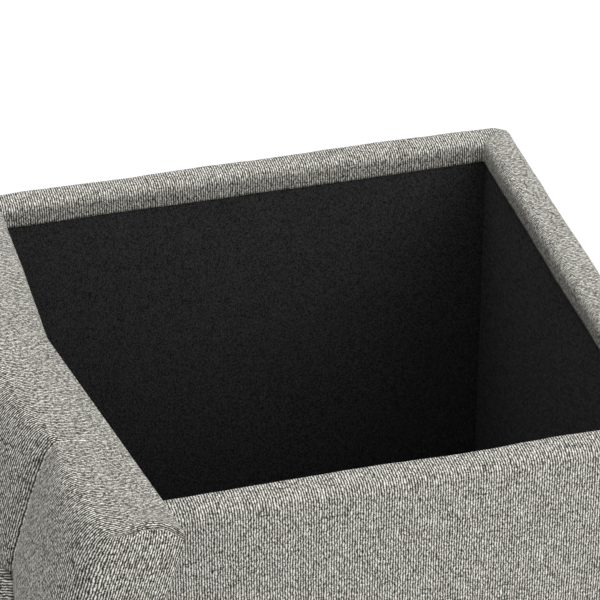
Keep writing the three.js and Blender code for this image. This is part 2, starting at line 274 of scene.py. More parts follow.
# ---- materials ----
class Graph:
    """Short spellings for shader nodes."""

    def __init__(self, name):
        self.material = bpy.data.materials.new(name)
        self.material.use_nodes = True
        self.tree = self.material.node_tree
        self.shader = self.tree.nodes["Principled BSDF"]

    def node(self, kind, **settings):
        made = self.tree.nodes.new(kind)
        for name, value in settings.items():
            setattr(made, name, value)
        return made

    def put(self, socket, value):
        if isinstance(value, bpy.types.NodeSocket):
            self.tree.links.new(value, socket)
        else:
            socket.default_value = value

    def math(self, operation, first, second=0.0, clamp=False):
        made = self.node("ShaderNodeMath", operation=operation, use_clamp=clamp)
        self.put(made.inputs[0], first)
        self.put(made.inputs[1], second)
        return made.outputs[0]

    def join(self, x, y, z=0.0):
        made = self.node("ShaderNodeCombineXYZ")
        for socket, value in zip(made.inputs, (x, y, z)):
            self.put(socket, value)
        return made.outputs[0]

    def noise(self, vector, scale=1.0, detail=2.0, roughness=0.5):
        made = self.node("ShaderNodeTexNoise")
        self.put(made.inputs["Vector"], vector)
        made.inputs["Scale"].default_value = scale
        made.inputs["Detail"].default_value = detail
        made.inputs["Roughness"].default_value = roughness
        return made.outputs["Fac"]

    def cell(self, vector):
        """One random number from 0 to 1 for each whole-numbered place."""
        made = self.node("ShaderNodeTexWhiteNoise", noise_dimensions="3D")
        self.put(made.inputs["Vector"], vector)
        return made.outputs["Value"]

    def ramp(self, value, stops):
        made = self.node("ShaderNodeValToRGB")
        self.put(made.inputs[0], value)
        elements = made.color_ramp.elements
        while len(elements) < len(stops):
            elements.new(0.5)
        for element, (position, colour) in zip(elements, stops):
            element.position = position
            element.color = (*colour, 1)
        return made.outputs[0]

    def bump(self, height, distance, strength=1.0):
        made = self.node("ShaderNodeBump")
        self.put(made.inputs["Height"], height)
        made.inputs["Distance"].default_value = distance
        made.inputs["Strength"].default_value = strength
        self.tree.links.new(made.outputs[0], self.shader.inputs["Normal"])

    def set(self, **values):
        for name, value in values.items():
            self.put(self.shader.inputs[name.replace("_", " ")], value)
        return self.material


RIB = 1.66 * MM  # pitch of the ribs
GRAIN = 0.8 * MM  # length of one fleck
FLOAT = 5.6 * MM  # length over which the floats change ribs
BOX_RIBS = 0.38
LID_RIBS = 0.40
STAGGER_SHARE = 0.19
BOX_FLECKS = 0.55
LID_FLECKS = 0.66
BOX_SHADE = 0.44
# the lid is covered in the same cloth as the box; its lower level is painted shade
LID_SHADE_PAINTED_DARKER = 0.374
SLUB_SHARE = 0.25  # a few dark weft threads
SLUB_RARITY = 0.985
BLOTCH_SHARE = 0.15
RIB_WANDER = 0.4
RIB_JITTER = 0.45
FLOAT_WANDER = 3.0
WEAVE_RELIEF = 0.45 * MM


def cloth_material(name, shade, ribs, fleck):
    """Ribbed weave of two yarns: light ribs, dark gaps, staggered floats and fine flecks."""
    g = Graph(name)
    uv = g.node("ShaderNodeUVMap", uv_map="weave")
    split = g.node("ShaderNodeSeparateXYZ")
    g.tree.links.new(uv.outputs[0], split.inputs[0])
    across = g.math("DIVIDE", split.outputs[0], RIB)
    along = g.math("DIVIDE", split.outputs[1], GRAIN)
    float_run = g.math("DIVIDE", split.outputs[1], FLOAT)

    drift = g.join(g.math("MULTIPLY", across, 0.3), g.math("MULTIPLY", along, 0.07))
    wander = g.math("SUBTRACT", g.noise(drift, 1.0, 1.0), 0.5)
    across = g.math("ADD", across, g.math("MULTIPLY", wander, RIB_WANDER))
    jitter = g.noise(g.join(across, g.math("MULTIPLY", along, 0.3), 4.4), 1.0, 0.0)
    jitter = g.math("MULTIPLY", g.math("SUBTRACT", jitter, 0.5), RIB_JITTER)
    across = g.math("ADD", across, jitter)
    rib = g.math("COSINE", g.math("MULTIPLY", across, 2 * math.pi))
    stagger = g.math("COSINE", g.math("MULTIPLY", across, math.pi))
    turn = g.math("ADD", float_run, g.math("MULTIPLY", wander, FLOAT_WANDER))
    stagger = g.math("MULTIPLY", stagger, g.math("COSINE", g.math("MULTIPLY", turn, 2 * math.pi)))
    row = g.math("FLOOR", along)
    grain = g.cell(g.join(g.math("FLOOR", g.math("MULTIPLY", across, 2.0)), row, 1.0))
    weft = g.cell(g.join(g.math("FLOOR", g.math("DIVIDE", across, 4.5)), row, 3.0))
    stain = g.join(g.math("MULTIPLY", across, 0.2), g.math("MULTIPLY", along, 0.1), 1.3)
    blotch = g.noise(stain, 1.0, 2.0)

    slub = g.math("MULTIPLY", g.math("GREATER_THAN", weft, SLUB_RARITY), SLUB_SHARE)
    light = g.math("MULTIPLY", rib, ribs)
    light = g.math("ADD", light, g.math("MULTIPLY", stagger, STAGGER_SHARE))
    light = g.math("ADD", light, g.math("MULTIPLY", g.math("SUBTRACT", grain, 0.5), fleck))
    light = g.math("SUBTRACT", light, slub)
    light = g.math("ADD", light, g.math("MULTIPLY", g.math("SUBTRACT", blotch, 0.5), BLOTCH_SHARE))
    # shade sets the cloth's overall lightness; for the lid's copy it is lowered as painted shade
    light = g.math("ADD", light, shade, clamp=True)
    colour = g.ramp(light, [
        (0.0, (0.020, 0.018, 0.013)),
        (0.2, (0.085, 0.081, 0.066)),
        (0.5, (0.33, 0.322, 0.287)),
        (0.78, (0.66, 0.65, 0.60)),
        (1.0, (0.93, 0.92, 0.87)),
    ])
    height = g.math("ADD", g.math("MULTIPLY", rib, 0.35), g.math("MULTIPLY", stagger, 0.15))
    height = g.math("ADD", height, g.math("MULTIPLY", grain, 0.25))
    g.bump(height, WEAVE_RELIEF, 0.7)
    return g.set(
        Base_Color=colour, Roughness=0.92, Specular_IOR_Level=0.15,
        Sheen_Weight=0.08, Sheen_Roughness=0.5, Sheen_Tint=(0.9, 0.88, 0.84, 1),
    )


def felt_material():
    """Black needle-punched felt: short fibres that lie mostly along Y."""
    g = Graph("black_felt")
    split = g.node("ShaderNodeSeparateXYZ")
    g.tree.links.new(g.node("ShaderNodeTexCoord").outputs["Object"], split.inputs[0])
    x, y, z = split.outputs
    place = g.join(g.math("MULTIPLY", x, 1.3), g.math("MULTIPLY", y, 0.35), z)
    fibre = g.noise(place, 900.0, 1.0, 0.6)
    patch = g.noise(place, 240.0, 2.0, 0.6)
    light = g.math("ADD", g.math("MULTIPLY", fibre, 0.85), g.math("MULTIPLY", patch, 0.15))
    colour = g.ramp(light, [(0.33, (0.006, 0.006, 0.006)), (0.69, (0.067, 0.067, 0.068))])
    g.bump(light, 0.9 * MM, 1.0)
    return g.set(
        Base_Color=colour, Roughness=0.95, Specular_IOR_Level=0.12,
        Sheen_Weight=0.06, Sheen_Roughness=0.6, Sheen_Tint=(0.6, 0.6, 0.62, 1),
    )


def board_material():
    g = Graph("fibreboard")
    place = g.node("ShaderNodeTexCoord").outputs["Object"]
    chips = g.noise(place, 420.0, 4.0, 0.7)
    stain = g.noise(place, 22.0, 3.0)
    colour = g.ramp(g.math("ADD", g.math("MULTIPLY", chips, 0.6), g.math("MULTIPLY", stain, 0.4)), [
        (0.35, (0.30, 0.17, 0.07)), (0.65, (0.58, 0.38, 0.19)),
    ])
    g.bump(chips, 0.2 * MM, 0.5)
    return g.set(Base_Color=colour, Roughness=0.8)


def foam_material():
    g = Graph("open_cell_foam")
    place = g.node("ShaderNodeTexCoord").outputs["Object"]
    cells = g.node("ShaderNodeTexVoronoi")
    g.tree.links.new(place, cells.inputs["Vector"])
    cells.inputs["Scale"].default_value = 900.0
    colour = g.ramp(cells.outputs["Distance"], [(0.1, (0.62, 0.55, 0.36)), (0.7, (0.85, 0.79, 0.60))])
    g.bump(cells.outputs["Distance"], 0.4 * MM, 0.7)
    return g.set(Base_Color=colour, Roughness=0.95)


def metal_material():
    g = Graph("zinc_plate")
    place = g.node("ShaderNodeTexCoord").outputs["Object"]
    spangle = g.noise(place, 700.0, 3.0, 0.6)
    colour = g.ramp(spangle, [(0.3, (0.42, 0.43, 0.44)), (0.7, (0.60, 0.61, 0.62))])
    g.bump(spangle, 0.05 * MM, 0.3)
    return g.set(Base_Color=colour, Metallic=1.0, Roughness=0.36)


def plastic_material():
    g = Graph("black_plastic")
    place = g.node("ShaderNodeTexCoord").outputs["Object"]
    grain = g.noise(place, 1400.0, 2.0)
    wear = g.noise(place, 90.0, 3.0)
    colour = g.ramp(wear, [(0.35, (0.010, 0.010, 0.011)), (0.75, (0.030, 0.030, 0.032))])
    g.bump(grain, 0.08 * MM, 0.5)
    return g.set(Base_Color=colour, Roughness=0.55)


def stained_wood_material():
    g = Graph("black_stained_wood")
    place = g.node("ShaderNodeTexCoord").outputs["Object"]
    split = g.node("ShaderNodeSeparateXYZ")
    g.tree.links.new(place, split.inputs[0])
    across = [g.math("MULTIPLY", axis, 300.0) for axis in split.outputs]
    grain = g.noise(g.join(*across), 1.0, 4.0, 0.65)
    colour = g.ramp(grain, [(0.35, (0.008, 0.008, 0.008)), (0.7, (0.040, 0.038, 0.036))])
    g.bump(grain, 0.15 * MM, 0.6)
    return g.set(Base_Color=colour, Roughness=0.6)


def twine_material():
    g = Graph("twine")
    place = g.node("ShaderNodeTexCoord").outputs["Object"]
    strand = g.noise(place, 1500.0, 2.0)
    colour = g.ramp(strand, [(0.3, (0.48, 0.44, 0.36)), (0.7, (0.75, 0.71, 0.62))])
    g.bump(strand, 0.2 * MM, 0.8)
    return g.set(Base_Color=colour, Roughness=0.85)


MATERIALS = {
    "cloth": cloth_material("ribbed_cloth", BOX_SHADE, BOX_RIBS, BOX_FLECKS),
    "felt": felt_material(),
    "foam": foam_material(),
    "board": board_material(),
    "batten": stained_wood_material(),
    "steel": metal_material(),
    "plastic": plastic_material(),
    "twine": twine_material(),
}
# darker copy of the box's cloth for the lid and its buttons: painted shade
LID_CLOTH_PAINTED_SHADE = cloth_material("ribbed_cloth_lid_painted_shade", LID_SHADE_PAINTED_DARKER, LID_RIBS, LID_FLECKS)


def finish_cad_nodes():
    for part in frame["record"]["subparts"]:
        mesh = frame["nodes"][part["node"]].data
        for index in range(len(mesh.materials)):
            mesh.materials[index] = MATERIALS[part["material_slot"]]


# ---- upholstered walls ----
def arc(middle, radius, start, end, count):
    turns = np.radians(np.linspace(start, end, count))
    return [(middle[0] + radius * math.cos(t), middle[1] + radius * math.sin(t)) for t in turns]


def spread(start, end, step):
    count = max(2, round(math.dist(start, end) / step) + 1)
    return [tuple(point) for point in np.linspace(start, end, count)]


def wall_profile():
    """Cloth from under the base, up the outside, over the rim and down inside, as (offset, height)."""
    face = WALL + PROUD
    crest = RIM_Z + RIM_RISE
    under = spread((WALL - FLANGE, COVER_Z), (face - FOOT_ROUND, COVER_Z), GRID_STEP)
    foot = arc((face - FOOT_ROUND, COVER_Z + FOOT_ROUND), FOOT_ROUND, -90, 0, 5)
    outside = spread((face, COVER_Z + FOOT_ROUND), (face, crest - RIM_OUTER_ROUND), GRID_STEP)
    outer_round = arc((face - RIM_OUTER_ROUND, crest - RIM_OUTER_ROUND), RIM_OUTER_ROUND, 0, 90, 9)
    top = spread((face - RIM_OUTER_ROUND, crest), (RIM_INNER_ROUND, crest), RIM_STEP)
    inner_round = arc((RIM_INNER_ROUND, crest - RIM_INNER_ROUND), RIM_INNER_ROUND, 90, 180, 7)
    band = spread((0, crest - RIM_INNER_ROUND), (0, RIM_Z - BAND - BAND_OVERLAP), BAND_STEP)
    rows = []
    for part in (under, foot, outside, outer_round, top, inner_round, band):
        rows += part if not rows else part[1:]
    return rows


def wall_path(offset):
    """The front wall seen from above, at this offset from the opening, as (x, y, length of cloth)."""
    half = OPENING + offset
    radius = INNER_CORNER + (OUTER_CORNER - INNER_CORNER) * max(0, offset) / WALL
    middle = half - radius
    left = arc((-middle, -middle), radius, 225 + MITRE_GAP, 270, MITRE_STEPS)
    right = arc((middle, -middle), radius, 270, 315 - MITRE_GAP, MITRE_STEPS)
    points = []
    for x, y in left[:-1]:
        points.append((x, y, -middle - radius * (math.pi / 2 - math.atan2(-y - middle, -x - middle))))
    straight = np.linspace(-middle, middle, round(2 * HALF / GRID_STEP))
    points += [(x, -half, x) for x in straight]
    for x, y in right[1:]:
        points.append((x, y, middle + radius * (math.pi / 2 - math.atan2(-y - middle, x - middle))))
    return points


def press_against_lid(piece):
    """Flattens the cloth where the leaning lid rests on it."""
    points = coordinates(piece)
    towards_box = -np.array(LID_TURN.col[2][:3])
    depth = (points - np.array(LID_MIDDLE)) @ towards_box
    inside = np.clip(REST_GAP - depth, 0, None)
    set_coordinates(piece, points + towards_box * inside[:, None])


def make_wall_cover(side, turn):
    profile = wall_profile()
    lengths = np.cumsum([0] + [math.dist(a, b) for a, b in zip(profile, profile[1:])])
    rows = [wall_path(offset) for offset, _ in profile]
    width = len(rows[0])
    rotate = Matrix.Rotation(turn * math.pi / 2, 3, "Z")
    middle = Vector((BOX_X, BOX_Y, 0))
    vertices = []
    uv = []
    for (offset, height), row, length in zip(profile, rows, lengths):
        for x, y, run in row:
            vertices.append(rotate @ Vector((x, y, height)) + middle)
            uv.append((run + turn * PANEL_SHIFT, length))
    faces = grid_faces(len(rows), width)
    uvs = [[uv[index] for index in face] for face in faces]
    piece = new_object(f"wall_cover_{side}", vertices, faces, "box", MATERIALS["cloth"], uvs)

    points = coordinates(piece)
    outward = normals(piece)
    columns = np.tile(np.arange(width), len(rows))
    to_seam = np.minimum(columns, width - 1 - columns)
    seam = crease(to_seam, CORNER_SEAM_COLUMNS)
    row_height = np.repeat([height for _, height in profile], width)
    hold = np.clip((row_height - COVER_Z) / WALL_HOLD, 0, 1)
    puff = WALL_PUFF * smooth_noise(points, WALL_PUFF_PERIOD, 40 + turn)
    puff = puff + WALL_RIPPLE * smooth_noise(points, WALL_RIPPLE_PERIOD, 50 + turn)
    points += outward * ((puff * (1 - seam) * hold - CORNER_SEAM_DEPTH * seam)[:, None])
    set_coordinates(piece, points)
    apply_modifier(piece, "SOLIDIFY", thickness=CLOTH, offset=-1.0)
    press_against_lid(piece)
    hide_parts(f"cover_{side}")


# ---- thin panels ----
def slab(name, low, high, body, material, cuts, round_by, wave, seed, place=None):
    """A thin panel with softened edges and a slightly uneven surface."""
    work = bmesh.new()
    bmesh.ops.create_cube(work, size=1.0)
    size = Vector(high) - Vector(low)
    bmesh.ops.scale(work, vec=size, verts=work.verts)
    bmesh.ops.translate(work, vec=(Vector(low) + Vector(high)) / 2, verts=work.verts)
    bmesh.ops.bevel(work, geom=work.edges[:], offset=round_by, segments=3, affect="EDGES", profile=0.5)
    long_edges = [edge for edge in work.edges if edge.calc_length() > 20 * MM]
    bmesh.ops.subdivide_edges(work, edges=long_edges, cuts=cuts, use_grid_fill=True)
    mesh = bpy.data.meshes.new(name)
    work.to_mesh(mesh)
    work.free()
    piece = bpy.data.objects.new(name, mesh)
    bpy.context.scene.collection.objects.link(piece)
    if place is not None:
        piece.matrix_world = place
    mesh.materials.append(material)
    mesh.shade_smooth()
    points = coordinates(piece)
    unevenness = wave * smooth_noise(points, WAVE_PERIOD, seed)
    set_coordinates(piece, points + normals(piece) * unevenness[:, None])
    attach(piece, body)
    return piece


def make_lining():
    for seed, name in enumerate([*(f"lining_{side}" for side in SIDES), "lining_floor"]):
        low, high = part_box(name)
        panel = slab(
            f"felt_{name}", low, high, "box",
            MATERIALS["felt"], PANEL_CUTS, LINING_ROUND, LINING_WAVE, seed,
        )
        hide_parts(name)


def make_dust_sheet():
    sheet = slab(
        "dust_sheet", SHEET_LOW, SHEET_HIGH, "box",
        MATERIALS["felt"], PANEL_CUTS, DUST_ROUND, DUST_WAVE, 61,
    )
    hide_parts("dust_cover")


# ---- lid ----
def graded(start, end, count):
    """Numbers from start to end, closer together at both ends."""
    share = np.linspace(0, 1, count + 1)
    eased = 0.5 - 0.5 * np.cos(np.pi * share)
    return start + (end - start) * (LINE_EVENNESS * share + (1 - LINE_EVENNESS) * eased)


def lid_lines(pleat):
    """Grid lines across the lid, closest together at the two pleats and the edges."""
    border = graded(-LID_EDGE, -pleat, BORDER_LINES)
    middle = graded(-pleat, pleat, MIDDLE_LINES)
    return np.concatenate([border, middle[1:], -border[::-1][1:]])


def to_outline(x, y):
    """Turns the corners of the square into quarter circles."""
    limit = LID_EDGE - LID_CORNER
    dx, dy = abs(x) - limit, abs(y) - limit
    if dx <= 0 or dy <= 0:
        return x, y
    reach = max(dx, dy) / math.hypot(dx, dy)
    return math.copysign(limit + dx * reach, x), math.copysign(limit + dy * reach, y)


def seated(x, y):
    """Draws in the side that stands on the floor, so that only its cloth is squashed."""
    return x + LID_PROUD * max(0.0, -x / LID_EDGE), y


def along_edge(run):
    """A point of the square's edge, by its distance round from the corner at -X, -Y."""
    side, rest = divmod(run % (8 * LID_EDGE), 2 * LID_EDGE)
    place = rest - LID_EDGE
    return ((place, -LID_EDGE), (LID_EDGE, place), (-place, LID_EDGE), (-LID_EDGE, -place))[int(side)]


def cushion_height(x, y):
    """Top of the stuffed lid: pillows between the pleats, sinking to the seams and the buttons."""

    def rise(value, pleat):
        to_line = 1 - math.exp(-abs(abs(value) - pleat) / PLEAT_WIDTH)
        to_edge = min(1.0, (LID_EDGE - abs(value)) / EDGE_ROUND)
        return to_line, math.sqrt(max(0.0, 1 - (1 - to_edge) ** 2))

    line_x, edge_x = rise(x, TUFT_X)
    line_y, edge_y = rise(y, TUFT_Y)
    button = math.hypot(abs(x) - TUFT_X, abs(y) - TUFT_Y)
    dip = BUTTON_DIP * math.exp(-(button / BUTTON_DIP_WIDTH) ** 2)
    edge = edge_x * edge_y
    pillow = PILLOW * (line_x * line_y) ** PILLOW_POWER * (1 - EDGE_SHARE + EDGE_SHARE * edge)
    return SEAM_HEIGHT - EDGE_DROP * (1 - edge) + pillow - dip


def top_ring(width):
    """Indices of the top grid's outer vertices, round from the corner at -X, -Y."""
    last = width - 1
    near = list(range(last))
    right = [row * width + last for row in range(last)]
    far = [last * width + column for column in range(last, 0, -1)]
    left = [row * width for row in range(last, 0, -1)]
    return near + right + far + left


def cushion_grid():
    """Vertices of the lid's cushion: the top as a grid, then rings down its sides and underneath.

    rest holds each vertex's place on the flat lid and how far down it is: 0 on the top, 1 at the
    foot of the sides, 2 underneath.
    """
    columns, rows = lid_lines(TUFT_X), lid_lines(TUFT_Y)
    vertices, rest = [], []
    for y in rows:
        for x in columns:
            vertices.append((*seated(*to_outline(x, y)), cushion_height(x, y)))
            rest.append((x, y, 0.0))
    last = len(columns) - 1
    ring = top_ring(last + 1)
    rings = [ring]
    for level in range(1, SIDE_ROWS + 1):
        part = level / SIDE_ROWS
        fresh = []
        for index, top in enumerate(ring):
            x, y, _ = rest[top]
            side = index // last
            place = (x, y, -x, -y)[side]
            run = side * 2 * LID_EDGE + place + LID_EDGE
            corner = round(run / (2 * LID_EDGE)) * 2 * LID_EDGE
            reach = math.exp(-(((run - corner) / CORNER_PULL_REACH) ** 2))
            slide = CORNER_PULL * math.sin(math.pi * part ** 1.5) * reach
            px, py = seated(*to_outline(*along_edge(run + slide)))
            bulge = 1 + SIDE_BULGE * math.sin(math.pi * part)
            top_z = vertices[top][2]
            fresh.append(len(vertices))
            vertices.append((px * bulge, py * bulge, top_z + (LID_COVER_Z - top_z) * part))
            rest.append((x, y, part))
        rings.append(fresh)
    for inset, height in UNDER_ROWS:
        fresh = []
        for start in rings[SIDE_ROWS]:
            x, y, _ = vertices[start]
            shrink = 1 - inset * MM / LID_EDGE
            fresh.append(len(vertices))
            vertices.append((x * shrink, y * shrink, height * MM))
            rest.append((*rest[start][:2], 2.0))
        rings.append(fresh)
    return columns, rows, vertices, rest, rings


def chain_lengths(points, chain):
    steps = np.linalg.norm(np.diff(points[chain], axis=0), axis=1)
    return np.concatenate([[0], np.cumsum(steps)])


def weave_coordinates(points, rings, width):
    """Length of cloth across and along the ribs, for the top grid and for the four sides' rings."""
    depth = len(rings)
    last = width - 1
    grid = np.arange(width * width).reshape(width, width)
    across = np.zeros((width, width))
    along = np.zeros((width, width))
    side_run = [np.zeros((depth, width)) for _ in range(4)]

    def ring_strip(side):
        steps = [(side * last + step) % len(rings[0]) for step in range(width)]
        return np.array([[level[step] for step in steps] for level in rings])

    strips = [ring_strip(side) for side in range(4)]
    for number in range(width):
        near = strips[0][::-1, number][:-1]
        far = strips[2][:, last - number][1:]
        chain = np.concatenate([near, grid[:, number], far])
        run = chain_lengths(points, chain)
        run = run - run[len(near) + width // 2]
        side_run[0][:, number] = run[:depth][::-1]
        across[:, number] = run[depth - 1:depth - 1 + width]
        side_run[2][:, last - number] = run[depth + width - 2:]
        left = strips[3][::-1, last - number][:-1]
        right = strips[1][:, number][1:]
        chain = np.concatenate([left, grid[number, :], right])
        run = chain_lengths(points, chain)
        run = run - run[len(left) + width // 2]
        side_run[3][:, last - number] = run[:depth][::-1]
        along[number, :] = run[depth - 1:depth - 1 + width]
        side_run[1][:, number] = run[depth + width - 2:]
    return across, along, side_run


def even_out(lengths, axis):
    """Shares the difference in length between neighbouring lines of cloth."""
    difference = lengths - lengths.mean(axis=axis, keepdims=True)
    return lengths - EVENING * difference


def cushion_faces(width, rings):
    faces = grid_faces(width, width)
    total = len(rings[0])
    for upper, lower in zip(rings, rings[1:]):
        for index in range(total):
            after = (index + 1) % total
            faces.append((upper[index], lower[index], lower[after], upper[after]))
    return faces


def held_vertices(columns, rows, rings):
    """Vertices that the stuffing doesn't move: the foot, the pleats and the seats of the buttons."""
    held = set()
    for level in rings[SIDE_ROWS:]:
        held.update(level)
    for row, y in enumerate(rows):
        for column, x in enumerate(columns):
            on_pleat = min(abs(abs(x) - TUFT_X), abs(abs(y) - TUFT_Y)) < PIN_REACH
            on_button = math.hypot(abs(x) - TUFT_X, abs(y) - TUFT_Y) < BUTTON_RADIUS - PIN_MARGIN
            if on_pleat or on_button:
                held.add(row * len(columns) + column)
    return sorted(held)


def weave_cushion(cushion, rings, width):
    """Lays the weave over the cushion, with u across the ribs and v along them."""
    last = width - 1
    across, along, side_run = weave_coordinates(coordinates(cushion), rings, width)
    across = even_out(across, 1)
    along = even_out(along, 0)
    side_run = [even_out(run, 1) for run in side_run]
    uvs = []
    for row in range(last):
        for column in range(last):
            corners = ((row, column), (row, column + 1), (row + 1, column + 1), (row + 1, column))
            uvs += [(across[corner], along[corner]) for corner in corners]
    edge_along = (along[0, :], across[:, last], along[last, ::-1], across[::-1, 0])

    def side_uv(side, level, step):
        run, edge = side_run[side][level, step], edge_along[side][step]
        return (run, edge) if side % 2 == 0 else (edge, run)

    for level in range(len(rings) - 1):
        for index in range(len(rings[0])):
            side, step = divmod(index, last)
            uvs += [
                side_uv(side, level, step), side_uv(side, level + 1, step),
                side_uv(side, level + 1, step + 1), side_uv(side, level, step + 1),
            ]
    layer = cushion.data.uv_layers.new(name="weave")
    layer.data.foreach_set("uv", np.array(uvs, dtype=np.float32).ravel())


def make_cushion():
    columns, rows, vertices, rest, rings = cushion_grid()
    width = len(columns)
    faces = cushion_faces(width, rings)
    cushion = new_object("lid_cushion", vertices, faces, "lid", LID_CLOTH_PAINTED_SHADE, None, LID)
    flat = cushion.data.attributes.new("rest", "FLOAT_VECTOR", "POINT")
    flat.data.foreach_set("vector", np.array(rest, dtype=np.float32).ravel())
    inflate(cushion, held_vertices(columns, rows, rings))
    weave_cushion(cushion, rings, width)
    return cushion


def inflate(piece, pinned):
    """Cloth simulation under inside pressure, with its result written to the mesh."""
    before = coordinates(piece)
    group = piece.vertex_groups.new(name="pinned")
    group.add(pinned, 1.0, "REPLACE")
    cloth = piece.modifiers.new("cloth", "CLOTH")
    cloth.settings.vertex_group_mass = "pinned"
    cloth.settings.use_pressure = True
    cloth.settings.uniform_pressure_force = PRESSURE
    cloth.settings.quality = 6
    cloth.settings.mass = 0.25
    cloth.settings.tension_stiffness = 18
    cloth.settings.compression_stiffness = 18
    cloth.settings.shear_stiffness = 8
    cloth.settings.bending_stiffness = 0.6
    cloth.settings.effector_weights.gravity = 0
    cloth.point_cache.frame_start = 1
    cloth.point_cache.frame_end = CLOTH_FRAMES
    scene = bpy.context.scene
    for number in range(1, CLOTH_FRAMES + 1):
        scene.frame_set(number)
    depsgraph = bpy.context.evaluated_depsgraph_get()
    shaped = piece.evaluated_get(depsgraph).to_mesh()
    after = np.empty(len(before) * 3)
    shaped.vertices.foreach_get("co", after)
    piece.evaluated_get(depsgraph).to_mesh_clear()
    piece.modifiers.remove(cloth)
    piece.vertex_groups.remove(group)
    scene.frame_set(1)
    move = after.reshape(-1, 3) - before
    length = np.linalg.norm(move, axis=1, keepdims=True)
    set_coordinates(piece, before + move * np.minimum(1, SWELL_LIMIT / np.maximum(length, 1e-9)))


def close_underside(piece):
    work = bmesh.new()
    work.from_mesh(piece.data)
    bmesh.ops.holes_fill(work, edges=[edge for edge in work.edges if edge.is_boundary])
    bmesh.ops.recalc_face_normals(work, faces=work.faces)
    for face in work.faces:
        face.smooth = True
    work.to_mesh(piece.data)
    work.free()


def sew_cushion(cushion):
    """Presses in the pleats and corner seams and adds the small folds that run into them."""
    points = coordinates(cushion)
    outward = normals(cushion)
    flat = np.empty(len(points) * 3, dtype=np.float32)
    cushion.data.attributes["rest"].data.foreach_get("vector", flat)
    x, y, part = flat.reshape(-1, 3).astype(float).T
    on_top = np.clip(1 - part * TOP_FADE, 0, 1)
    place = np.column_stack([x, y, part * SIDE_HEIGHT])
    wander = PLEAT_WANDER * smooth_noise(place, WAVE_PERIOD, 5)
    line_x = np.abs(x) - TUFT_X + wander
    line_y = np.abs(y) - TUFT_Y + wander
    nearest = np.minimum(np.abs(line_x), np.abs(line_y))
    button = np.hypot(np.abs(x) - TUFT_X, np.abs(y) - TUFT_Y)
    turn = np.arctan2(y, x) + np.arctan2(np.abs(y) - TUFT_Y, np.abs(x) - TUFT_X)

    pleat_reach = np.clip((PLEAT_END - part) * TOP_FADE, 0, 1)
    pleat_depth = PLEAT_DEPTH + PLEAT_DEPTH_TOP * on_top
    move = -pleat_depth * crease(nearest, PLEAT_LINE) * pleat_reach
    near_button = np.exp(-np.clip(button - BUTTON_RADIUS, 0, None) / FOLD_REACH)
    outside_button = np.clip(button / BUTTON_RADIUS - FOLD_EDGE, 0, 1)
    fold = FOLD_DEPTH * np.cos(FOLDS * turn + FOLD_START)
    move += fold * near_button * outside_button * on_top
    to_edge = np.minimum(LID_EDGE - np.abs(x), LID_EDGE - np.abs(y))
    gather = np.exp(-((to_edge - GATHER_PLACE) / GATHER_WIDTH) ** 2)
    gather = gather * np.exp(-(nearest / GATHER_REACH) ** 2)
    move += GATHER_DEPTH * np.sin((line_x - line_y) / GATHER_PITCH) * gather * on_top
    corner = np.hypot(LID_EDGE - np.abs(x), LID_EDGE - np.abs(y))
    on_side = np.clip(part * SIDE_FADE, 0, 1) * (part <= 1)
    move -= SEAM_DEPTH * crease(corner, SEAM_LINE) * on_side
    on_upright = on_side * (np.abs(x) > LID_EDGE - PIN_REACH)
    move += WELT_HEIGHT * crease(LID_EDGE - np.abs(y) - WELT_PLACE, WELT_WIDTH) * on_upright
    loose = np.clip(LUMP_END - part, 0, 1)
    move += LUMPS * smooth_noise(points, LUMP_PERIOD, 6) * loose
    points += outward * move[:, None]
    upwards = np.array(LID_TURN)[2, :3]
    height = points @ upwards + LID_MIDDLE.z
    lift = np.clip(FLOOR_GAP - height, 0, None)
    set_coordinates(cushion, points + np.outer(lift, upwards))


def lid_box(name):
    """Low and high corner of a CAD piece of the lid, with the lid laid flat."""
    node = frame["nodes"][name]
    into_lid = LID.inverted() @ node.matrix_world
    points = np.array([into_lid @ vertex.co for vertex in node.data.vertices])
    return Vector(points.min(axis=0)), Vector(points.max(axis=0))


def make_lid():
    cushion = make_cushion()
    apply_modifier(cushion, "SUBSURF", levels=1, render_levels=1)
    close_underside(cushion)
    sew_cushion(cushion)
    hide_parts("lid_cover", "lid_foam")
    make_buttons()
    sheet = HALF - UNDERSIDE_INSET
    lining = slab(
        "lid_underside", (-sheet, -sheet, 0), (sheet, sheet, LID_SHEET), "lid",
        MATERIALS["felt"], UNDERSIDE_CUTS, UNDERSIDE_ROUND, UNDERSIDE_WAVE, 71, LID,
    )
    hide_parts("lid_lining")
    for seed, side in enumerate(SIDES, 81):
        name = f"locating_batten_{side}"
        low, high = lid_box(name)
        batten = slab(
            f"eased_{name}", low, high, "lid",
            MATERIALS["batten"], BATTEN_CUTS, BATTEN_ROUND, BATTEN_WAVE, seed, LID,
        )
        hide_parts(name)


def button_outline():
    """Radius and height from under a button's edge, round it and over the dome to the peak."""
    outline = arc((BUTTON_RADIUS - BUTTON_EDGE, BUTTON_EDGE), BUTTON_EDGE, -80, 40, 8)
    edge_radius, edge_height = outline[-1]
    for share in np.linspace(CROWN_START, 0.0, CROWN_STEPS)[1:]:
        rise = math.sqrt(max(0, 1 - (share / CROWN_END) ** 2))
        height = edge_height + (BUTTON_TOP - edge_height) * rise
        outline.append((edge_radius * share / CROWN_START, height))
    return outline


